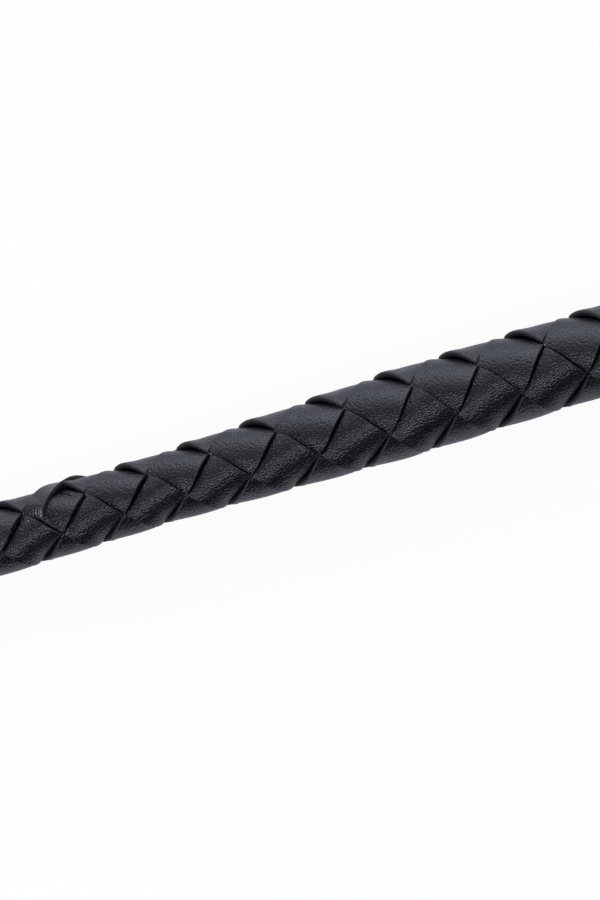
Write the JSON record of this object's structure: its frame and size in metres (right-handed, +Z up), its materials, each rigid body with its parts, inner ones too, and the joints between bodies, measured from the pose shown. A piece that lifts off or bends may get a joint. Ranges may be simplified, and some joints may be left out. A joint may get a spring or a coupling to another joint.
{
  "type": "riding crop",
  "caption": "Straight riding crop: plaited black leather handle tapering to a thread-covered rod, covering knots, wrist loop on a butt cap and a folded leather keeper at the tip.",
  "frame": {"origin": "under the middle of the crop, on the surface that both covering knots rest on", "axes": "+X along the crop towards the butt and wrist loop, +Z up from the surface, +Y across"},
  "size_m": [0.7676, 0.064, 0.022],
  "materials": {
    "plait_leather": "fine-grained black plaiting leather, satin",
    "strap_leather": "black strap leather, satin with plain cut edges",
    "black_thread": "waxed black nylon thread",
    "cap_lacquer": "gloss black lacquer on a cast cap",
    "pin_steel": "plain steel",
    "rivet_plate": "nickel plate",
    "core_wood": "turned hardwood dyed black",
    "rod_fibre": "pultruded glass fibre"
  },
  "bodies": {
    "crop": {"shaft_rod": "rod_fibre", "shaft_cover": "black_thread", "handle_core": "core_wood", "core_pin": "pin_steel", "cap_pin": "pin_steel", "right_lace_1": "plait_leather", "right_lace_2": "plait_leather", "right_lace_3": "plait_leather", "left_lace_1": "plait_leather", "left_lace_2": "plait_leather", "left_lace_3": "plait_leather", "butt_knot": "plait_leather", "front_foundation": "plait_leather", "front_knot": "plait_leather", "front_whipping": "black_thread", "butt_cap": "cap_lacquer", "loop_pin": "pin_steel", "keeper_tabs": "strap_leather", "tip_binding": "black_thread"},
    "wrist_loop": {"loop_strap": "strap_leather", "loop_rivet": "rivet_plate"},
    "loop_slider": {"loop_slider": "strap_leather"},
    "keeper": {"keeper_tongue": "strap_leather", "keeper_stitching": "black_thread"}
  },
  "joints": [
    {"name": "wrist_loop_swing", "type": "hinge", "parent": "crop", "child": "wrist_loop", "pos_m": [0.24205, 0, 0.011], "axis": [0, 0, 1], "range_deg": [-90, 90]},
    {"name": "loop_slider_slide", "type": "slide", "parent": "wrist_loop", "child": "loop_slider", "axis": [1, 0, 0], "range_m": [0, 0.0267]},
    {"name": "keeper_flap", "type": "hinge", "parent": "crop", "child": "keeper", "pos_m": [-0.31181, 0, 0.011], "axis": [0, 1, 0], "range_deg": [-70, 70], "stiffness_Nm_per_rad": 0.15}
  ]
}
